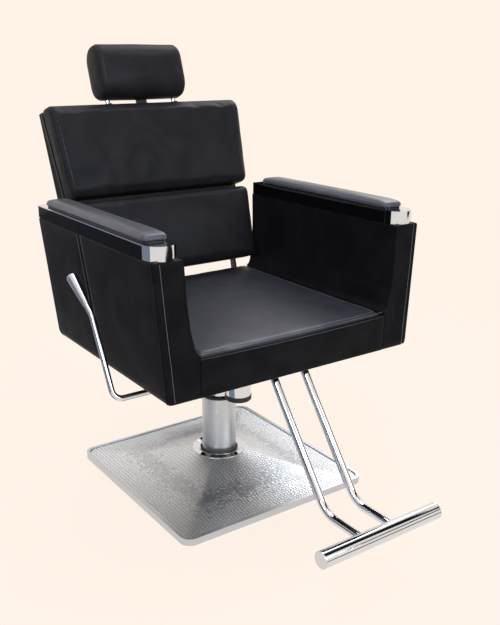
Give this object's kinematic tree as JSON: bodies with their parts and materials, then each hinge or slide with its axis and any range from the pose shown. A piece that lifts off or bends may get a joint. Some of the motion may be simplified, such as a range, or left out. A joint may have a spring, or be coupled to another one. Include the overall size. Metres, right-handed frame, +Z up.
{
  "type": "threading chair",
  "caption": "Reclining salon chair with padded box arms, hand pump lever, sliding headrest, T-bar footrest and a square hydraulic base.",
  "frame": {"origin": "on the floor under the axis of the column, at the middle of the square base", "axes": "+Z up along the column, the sitter faces -Y, +X to the sitter's left"},
  "size_m": [0.708, 0.9842, 0.9987],
  "materials": {
    "steel_paint": "satin",
    "satin_metal": "satin",
    "rim_metal": "satin",
    "chrome": "polished",
    "cap_metal": "satin",
    "grip_metal": "polished",
    "fastener": "satin",
    "rubber": "matt",
    "black_plastic": "satin",
    "bush_plastic": "matt",
    "gas_paint": "gloss",
    "gloss_black": "gloss",
    "wood": "matt",
    "seat_leather": "satin",
    "panel_leather": "satin",
    "back_leather": "satin",
    "pad_leather": "satin"
  },
  "bodies": {
    "base": {"base_plate": "steel_paint", "base_rim": "rim_metal", "base_cover": "satin_metal", "collar_ring": "chrome", "column_grommet": "rubber", "column_flange": "steel_paint", "base_bolts": "fastener", "column_tube": "satin_metal", "column_seal": "rubber", "guide_bush": "bush_plastic"},
    "lift": {"ram": "chrome", "ram_piston": "rubber", "thrust_washer": "bush_plastic"},
    "seat": {"pump_head": "steel_paint", "pump_cylinder": "chrome", "pump_cap": "rubber", "head_bolts": "fastener", "mounting_plate": "steel_paint", "seat_frame": "steel_paint", "seat_board": "wood", "seat_cushion": "seat_leather", "front_rail": "panel_leather", "rear_rail": "panel_leather", "arm_panel_right": "panel_leather", "arm_panel_left": "panel_leather", "arm_block_right": "gloss_black", "arm_block_left": "gloss_black", "arm_band_right": "chrome", "arm_band_left": "chrome", "arm_plate_right": "chrome", "arm_plate_left": "chrome", "pad_base_right": "black_plastic", "pad_base_left": "black_plastic", "arm_pad_right": "pad_leather", "arm_pad_left": "pad_leather", "footrest_bracket": "steel_paint", "footrest_tubes": "chrome", "footrest_bar": "chrome", "footrest_caps": "cap_metal", "hinge_brackets": "steel_paint", "hinge_bolts": "fastener", "hinge_pins": "fastener", "gas_bracket": "steel_paint", "gas_cylinder": "gas_paint", "release_bracket": "steel_paint"},
    "pump_lever": {"lever_rod": "chrome", "lever_grip": "grip_metal", "lever_rocker": "fastener"},
    "plunger": {"pump_plunger": "chrome"},
    "backrest": {"back_frame": "steel_paint", "back_board": "black_plastic", "back_shell": "panel_leather", "lower_cushion": "back_leather", "upper_cushion": "back_leather", "post_sleeves": "black_plastic"},
    "gas_strut_rod": {"gas_rod": "chrome"},
    "headrest": {"headrest_posts": "chrome", "ratchet_bar": "black_plastic", "headrest_cushion": "back_leather"},
    "release": {"release_lever": "black_plastic"}
  },
  "joints": [
    {"name": "lift_slide", "type": "slide", "parent": "base", "child": "lift", "axis": [0, 0, 1], "range_m": [0, 0.13]},
    {"name": "seat_swivel", "type": "hinge", "parent": "lift", "child": "seat", "pos_m": [0, 0, 0.3], "axis": [0, 0, 1], "continuous": true},
    {"name": "lever_swing", "type": "hinge", "parent": "seat", "child": "pump_lever", "pos_m": [0, -0.17, 0.3345], "axis": [-1, 0, 0], "range_deg": [0, 20], "stiffness_Nm_per_rad": 4, "springref_deg": -34.38},
    {"name": "plunger_slide", "type": "slide", "parent": "seat", "child": "plunger", "axis": [0, 0, -1], "range_m": [0, 0.03194]},
    {"name": "back_recline", "type": "hinge", "parent": "seat", "child": "backrest", "pos_m": [0, 0.25, 0.39], "axis": [-1, 0, 0], "range_deg": [0, 45]},
    {"name": "gas_strut_slide", "type": "slide", "parent": "seat", "child": "gas_strut_rod", "axis": [0, -1, 0], "range_m": [0, 0.03081]},
    {"name": "headrest_slide", "type": "slide", "parent": "backrest", "child": "headrest", "axis": [0, 0.3256, 0.9455], "range_m": [0, 0.08]},
    {"name": "release_turn", "type": "hinge", "parent": "seat", "child": "release", "pos_m": [0, 0.044, 0.343], "axis": [-1, 0, 0], "range_deg": [0, 12], "stiffness_Nm_per_rad": 0.6, "springref_deg": -28.65}
  ],
  "couplings": [
    {"joint": "plunger_slide", "follows": "lever_swing", "m_per_rad": 0.090925},
    {"joint": "gas_strut_slide", "follows": "back_recline", "m_per_rad": 0.03898}
  ]
}
